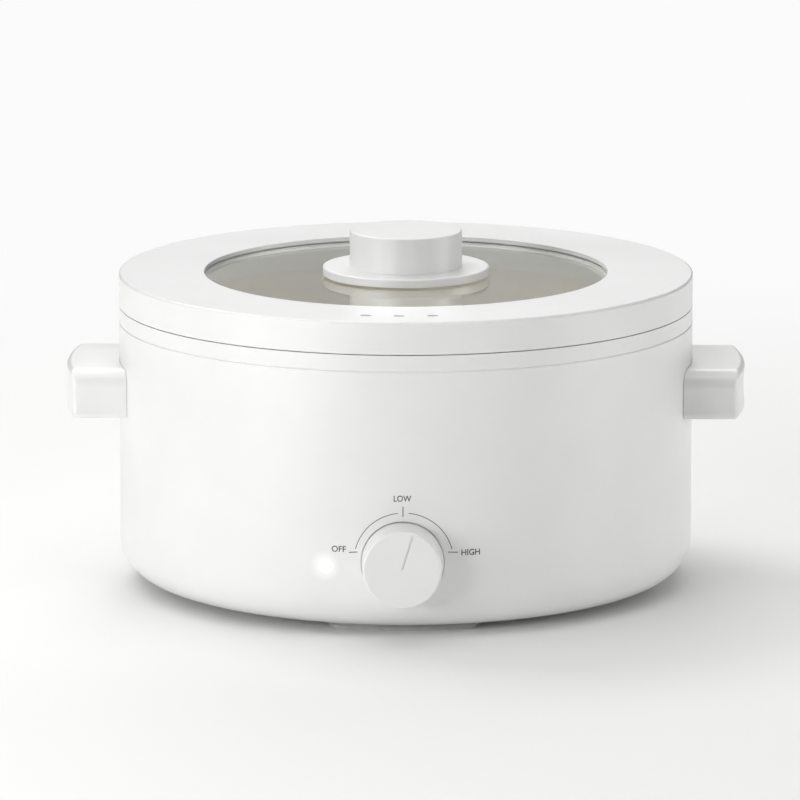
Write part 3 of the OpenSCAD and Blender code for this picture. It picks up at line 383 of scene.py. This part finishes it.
# ---- Side handles ----------------------------------------------------------------
# Two white moulded grips, screwed to the shell from inside. Their outer face follows the
# wall, their top falls off in a wide round at both ends, and a shallow cove runs round.
seat_radius, reach_radius, half_width = shell_radius + 0.15, 177.5, 41.5
grip_foot, tall = 92.1, 25.4
rim_round, side_round, foot_round, corner_round, cove = 3.0, 8.5, 3.0, 2.0, 0.5
bow = np.radians(np.linspace(0, 90, 19))
heights = np.concatenate([foot_round * (1 - np.cos(bow)),
                          np.linspace(foot_round, tall - side_round, 26)[1:-1],
                          tall - side_round * (1 - np.sin(bow))])[:, None]


def inset(top_round):
    """How far the grip's section draws in at each of the heights: a quarter circle at its
    foot, one of top_round at its top, and a shallow arc, the cove, between them."""
    half = (tall - top_round - foot_round) / 2
    arc = (half**2 + cove**2) / (2 * cove)
    below = np.clip(foot_round - heights, 0, None)
    above = np.clip(heights - tall + top_round, 0, None)
    apart = np.minimum(np.abs(heights - foot_round - half), half)
    return (foot_round - np.sqrt(foot_round**2 - below**2) + top_round
            - np.sqrt(top_round**2 - above**2) + np.sqrt(arc**2 - apart**2) - arc + cove)


# The upright corners lose as much of their radius as the section draws in. The root blends
# that difference into zero, so that a small radius is left where the grip is drawn in most.
softness = 0.5
spare = corner_round - inset(rim_round)
corner = (spare + np.sqrt(spare**2 + 4 * softness)) / 2
deep = reach_radius - seat_radius - inset(rim_round)
broad = half_width - inset(side_round)
# Shares of the way along a side, from the wall out, and along the front, from its middle.
side = np.linspace(0, 1, 8)
span = np.linspace(-1, 1, 25)[1:-1]
# The outline in plan, from the wall out, round both corners and back, then along the wall.
outward = np.concatenate([(deep - corner) * side[:-1], deep - corner * (1 - np.sin(bow)),
                          deep + 0 * span, deep - corner * (1 - np.cos(bow)),
                          (deep - corner) * side[::-1][1:], 0 * deep * span], 1)
sideways = np.concatenate([-broad + 0 * side[:-1], -broad + corner * (1 - np.cos(bow)),
                           (broad - corner) * span, broad - corner * (1 - np.sin(bow)),
                           broad + 0 * side[1:], -broad * span], 1)
# The outline is bent to the pot: each point moves from the wall's circle to the grip's.
inner = np.sqrt(seat_radius**2 - sideways**2)
outer = np.sqrt(reach_radius**2 - sideways**2)
across = inner + (outer - inner) * outward / (reach_radius - seat_radius)
upward = grip_foot + heights + 0 * across
for name, way in (("left_handle", -1), ("right_handle", 1)):
    grip = stack(name + "_grip", np.stack([way * across, sideways, upward], -1), white_plastic, 9)
    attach(grip, "root")
    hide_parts(name)
dress(steel, "handle_screws")


# ---- Base cover and feet ---------------------------------------------------------
# A slotted off-white cover, held up into the shell by four screws. Four arc-shaped grey
# rubber feet are pressed into it.
# Grey-white polypropylene with a coarser moulded grain than the shell's.
base_plastic = moulded("polypropylene_base_grey_white", "dfdfdd", "d7d7d4", (0.45, 0.56),
                       0.9, 0.014, 30, {"IOR": 1.49})
# Thermoplastic rubber: matt grey, faintly dusty, with a soft grain.
rubber = moulded("rubber_foot_grey", "b4b4b2", "a6a6a4", (0.6, 0.75), 0.6, 0.02, 6,
                 {"IOR": 1.5})
dress(base_plastic, "base_cover")
dress(steel, "base_screws")
dress(rubber, "front_foot", "right_foot", "rear_foot", "left_foot")


# ---- Lid ring and base plate -----------------------------------------------------
# The lid's white rim with its three steam slots, and the plate screwed under it that
# holds the glass from below and centres the lid in the pot.
dress(white_plastic, "lid_ring", "lid_base_plate")
dress(steel, "lid_screws")


# ---- Window glass and seal -------------------------------------------------------
# A disc of toughened soda-lime glass, 4 mm thick, bedded in a silicone ring.
# Clear with a faint green cast and a slow ripple from toughening, 33 mm from wave to wave.
# Light passes it without a dark shadow.
glass, tree, place = unfinished("glass_toughened_clear")
ripple = add(tree, "ShaderNodeTexNoise", {"Scale": 30.0, "Detail": 1.0}, {"Vector": place})
wave = add(tree, "ShaderNodeBump", {"Strength": 1.0, "Distance": 0.000004},
           {"Height": ripple.outputs["Fac"]})
cast = add(tree, "ShaderNodeValToRGB", links={"Fac": ripple.outputs["Fac"]})
cast.color_ramp.elements[0].color = linear("f9fbfa")
cast.color_ramp.elements[1].color = linear("fdfefe")
clear = add(tree, "ShaderNodeBsdfPrincipled",
            {"Roughness": 0.0, "IOR": 1.52, "Transmission Weight": 1.0},
            {"Base Color": cast.outputs["Color"], "Normal": wave.outputs["Normal"]})
passing = add(tree, "ShaderNodeBsdfTransparent", {"Color": linear("f9fbfa")})
path = add(tree, "ShaderNodeLightPath")
either = add(tree, "ShaderNodeMixShader",
             links={"Fac": path.outputs["Is Shadow Ray"], 1: clear.outputs["BSDF"],
                    2: passing.outputs["BSDF"]})
add(tree, "ShaderNodeOutputMaterial", links={"Surface": either.outputs["Shader"]})
dress(glass, "window_glass")
dress(silicone, "glass_seal")


# ---- Lid knob --------------------------------------------------------------------
# A white flange and a round grip, drawn down on the glass by one screw into a brass
# insert, with a silicone gasket above the glass and a cushion under the washer.
dress(white_plastic, "knob_flange", "knob_grip")
dress(silicone, "knob_gasket", "knob_cushion")
dress(brass, "knob_insert")
dress(steel, "knob_washer", "knob_screw")


# ---- Studio ----------------------------------------------------------------------
# A plain white sweep: matt near the pot, where it takes the shadow, and melting into the
# white of the backdrop further off. The main softboxes stand low at both sides, a large
# panel hangs above, and a wide screen stands behind.
backdrop_white = linear("fbfbfb")


def in_view(tree):
    """1 for what the camera sees, straight or through the glass, and 0 for all other rays."""
    path = add(tree, "ShaderNodeLightPath")
    return add(tree, "ShaderNodeMath", links={0: path.outputs["Is Camera Ray"],
                                              1: path.outputs["Is Transmission Ray"]},
               operation="MAXIMUM").outputs["Value"]


# White paper: matt, with fibres of about 1 mm that barely change its tone.
paper, tree, place = unfinished("backdrop_paper_white")
fibres = add(tree, "ShaderNodeTexNoise", {"Scale": 900.0, "Detail": 3.0}, {"Vector": place})
tone = add(tree, "ShaderNodeValToRGB", links={"Fac": fibres.outputs["Fac"]})
tone.color_ramp.elements[0].color = linear("f5f5f4")
tone.color_ramp.elements[1].color = linear("f8f8f7")
matt = add(tree, "ShaderNodeBsdfDiffuse", links={"Color": tone.outputs["Color"]})
far = add(tree, "ShaderNodeVectorMath", links={0: place}, operation="LENGTH")
fade = add(tree, "ShaderNodeMapRange", {"From Min": 0.35, "From Max": 1.0},
           {"Value": far.outputs["Value"]}, interpolation_type="SMOOTHSTEP")
share = add(tree, "ShaderNodeMath", links={0: fade.outputs["Result"], 1: in_view(tree)},
            operation="MULTIPLY")
white = add(tree, "ShaderNodeEmission", {"Color": backdrop_white, "Strength": 1.0})
blend = add(tree, "ShaderNodeMixShader",
            links={"Fac": share.outputs["Value"], 1: matt.outputs["BSDF"],
                   2: white.outputs["Emission"]})
add(tree, "ShaderNodeOutputMaterial", links={"Surface": blend.outputs["Shader"]})
floor_radius = 9.0
angle = np.linspace(0, 2 * np.pi, 96, endpoint=False)
rim = floor_radius * np.stack([np.cos(angle), np.sin(angle), 0 * angle], -1)
sweep = bpy.data.meshes.new("floor")
sweep.from_pydata(rim.tolist(), [], [range(len(rim))])
sweep.materials.append(paper)
floor = bpy.data.objects.new("floor", sweep)
bpy.context.collection.objects.link(floor)

room = bpy.data.worlds.new("studio")
bpy.context.scene.world = room
room.use_nodes = True
tree = room.node_tree
tree.nodes.clear()
dim = add(tree, "ShaderNodeBackground", {"Color": (1.0, 1.0, 1.0, 1.0), "Strength": 0.15})
pale = add(tree, "ShaderNodeBackground", {"Color": backdrop_white, "Strength": 1.0})
either = add(tree, "ShaderNodeMixShader",
             links={"Fac": in_view(tree), 1: dim.outputs["Background"],
                    2: pale.outputs["Background"]})
add(tree, "ShaderNodeOutputWorld", links={"Surface": either.outputs["Shader"]})


def stand(name, device, aim, turn, rise, away):
    """Sets a lamp or the camera away metres from the point aim and turns it back to aim. It
    stands turn degrees from the front towards the right and rise degrees above aim."""
    turn, rise = math.radians(turn), math.radians(rise)
    outward = Vector((math.sin(turn) * math.cos(rise), -math.cos(turn) * math.cos(rise),
                      math.sin(rise)))
    tripod = bpy.data.objects.new(name, device)
    tripod.location = aim + outward * away
    tripod.rotation_euler = outward.to_track_quat("Z", "Y").to_euler()
    bpy.context.collection.objects.link(tripod)
    return tripod


# Each lamp by name, its turn and rise in degrees, its distance and width in metres, and its
# power in watts. All of them face the pot's middle.
pot_middle = Vector((0, 0, 0.09))
for name, turn, rise, away, wide, power in (
        ("window_left", -80, 40, 2.2, 1.0, 2.8),
        ("softbox_left", -58, 8, 2.4, 0.8, 13.0),
        ("key_front", -34, 10, 1.2, 0.4, 3.0),
        ("softbox_right", 82, 4, 2.6, 1.4, 24.5),
        ("panel_above", 0, 86, 3.0, 3.6, 44.0),
        ("key_back_left", -135, 55, 2.2, 1.0, 13.0),
        ("screen_back", 180, 36, 3.6, 2.4, 30.0)):
    lamp = bpy.data.lights.new(name, "AREA")
    lamp.shape = "DISK"
    lamp.size = wide
    lamp.energy = power
    stand(name, lamp, pot_middle, turn, rise, away)

# The camera looks a hair past the pot's axis, from a little above the lid, with a long lens.
view = bpy.data.cameras.new("camera")
view.lens = 300.1
view.sensor_width = 36
view.clip_end = 100
view_middle = Vector((-0.00305, 0, 0.0942))
bpy.context.scene.camera = stand("camera", view, view_middle, 0.65, 11.28, 3.5)
bpy.context.scene.view_settings.view_transform = "Standard"
